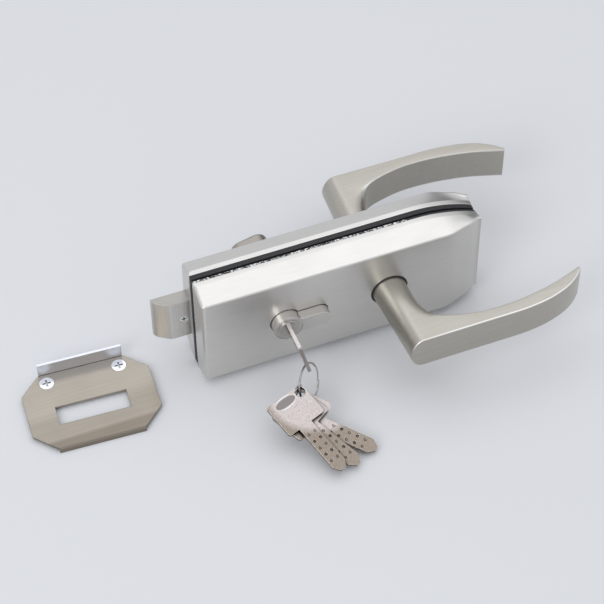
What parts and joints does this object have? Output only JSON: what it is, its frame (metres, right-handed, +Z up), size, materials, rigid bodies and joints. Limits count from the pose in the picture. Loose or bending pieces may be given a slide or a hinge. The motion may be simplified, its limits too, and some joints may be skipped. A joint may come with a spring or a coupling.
{
  "type": "glass door lock",
  "caption": "Clamp-on lock for a glass door, with a sprung latch, a pair of curved levers, a key cylinder with thumbturn, a key bunch and a strike plate.",
  "frame": {"origin": "middle of the glass seat, on the face of the back gasket that the glass lies against, midway along and up the case", "axes": "+X from the latch bolt to the levers, along the case; +Y square to the glass, towards the thumbturn side; +Z up the case"},
  "size_m": [0.3076, 0.1676, 0.0706],
  "materials": {
    "satin_steel": "satin brushed along the case",
    "raw_steel": "unpolished, zinc plated",
    "gasket": "matt black",
    "screw_steel": "plain steel",
    "cylinder_nickel": "satin nickel plate",
    "plug_nickel": "turned, satin nickel plate",
    "bush_plastic": "matt black nylon",
    "spring_steel": "bright spring steel",
    "lever_nickel": "satin nickel",
    "bolt_nickel": "satin nickel",
    "key_nickel": "bright nickel plate",
    "strike_steel": "satin, slightly warm",
    "bracket_steel": "grey, satin"
  },
  "bodies": {
    "case": {"front_cover": "satin_steel", "back_cover": "satin_steel", "front_plate": "raw_steel", "back_plate": "raw_steel", "case_cap": "raw_steel", "front_gasket": "gasket", "back_gasket": "gasket", "clamp_screws": "screw_steel", "clamp_pillars": "screw_steel", "cover_grub_screws": "screw_steel", "cylinder_body": "cylinder_nickel", "cylinder_screw": "screw_steel", "front_lever_bush": "bush_plastic", "back_lever_bush": "bush_plastic", "latch_springs": "spring_steel", "lever_spring": "spring_steel"},
    "levers": {"front_lever": "lever_nickel", "back_lever": "lever_nickel", "spindle": "screw_steel", "follower": "raw_steel", "circlips": "spring_steel", "lever_grub_screws": "screw_steel"},
    "latch": {"latch_bolt": "bolt_nickel", "latch_tail": "raw_steel", "latch_screw": "screw_steel"},
    "plug": {"plug": "plug_nickel"},
    "key": {"inserted_key": "key_nickel"},
    "key_bunch": {"key_ring": "spring_steel", "spare_key_1": "key_nickel", "spare_key_2": "key_nickel", "spare_key_3": "key_nickel"},
    "thumbturn": {"thumbturn": "lever_nickel", "thumbturn_spindle": "cylinder_nickel", "cam": "raw_steel"},
    "locking_slide": {"locking_slide": "raw_steel"},
    "strike": {"strike_plate": "strike_steel", "strike_bracket": "bracket_steel", "strike_screws": "screw_steel"}
  },
  "joints": [
    {"name": "lever_turn", "type": "hinge", "parent": "case", "child": "levers", "pos_m": [0.0255, 0, 0], "axis": [0, 1, 0], "range_deg": [0, 45], "stiffness_Nm_per_rad": 0.6, "springref_deg": -20.05, "deforming": ["lever_spring"]},
    {"name": "latch_slide", "type": "slide", "parent": "case", "child": "latch", "axis": [1, 0, 0], "range_m": [0, 0.0202], "deforming": ["latch_springs"]},
    {"name": "key_turn", "type": "hinge", "parent": "case", "child": "plug", "pos_m": [-0.0356, 0, 0], "axis": [0, 1, 0], "range_deg": [-76, 14]},
    {"name": "thumb_turn", "type": "hinge", "parent": "case", "child": "thumbturn", "pos_m": [-0.0356, 0.02, 0], "axis": [0, 1, 0], "range_deg": [-76.5, 14.5]},
    {"name": "locking_slide", "type": "slide", "parent": "case", "child": "locking_slide", "axis": [1, 0, 0], "range_m": [-0.0052, 0.0011]},
    {"name": "key_withdraw", "type": "slide", "parent": "plug", "child": "key", "axis": [0, -1, 0], "range_m": [0, 0.034]},
    {"name": "bunch_swing", "type": "hinge", "parent": "key", "child": "key_bunch", "pos_m": [-0.03313, -0.0422, -0.0099], "axis": [1, 0, 0], "range_deg": [-20, 20]},
    {"name": "strike_lift", "type": "slide", "parent": "case", "child": "strike", "axis": [0, 0, 1], "range_m": [0, 0.08]}
  ],
  "couplings": [
    {"joint": "latch_slide", "follows": "lever_turn", "m_per_rad": 0.025465},
    {"joint": "thumb_turn", "follows": "key_turn", "ratio": 1},
    {"joint": "locking_slide", "follows": "key_turn", "m_per_rad": 0.0038}
  ]
}
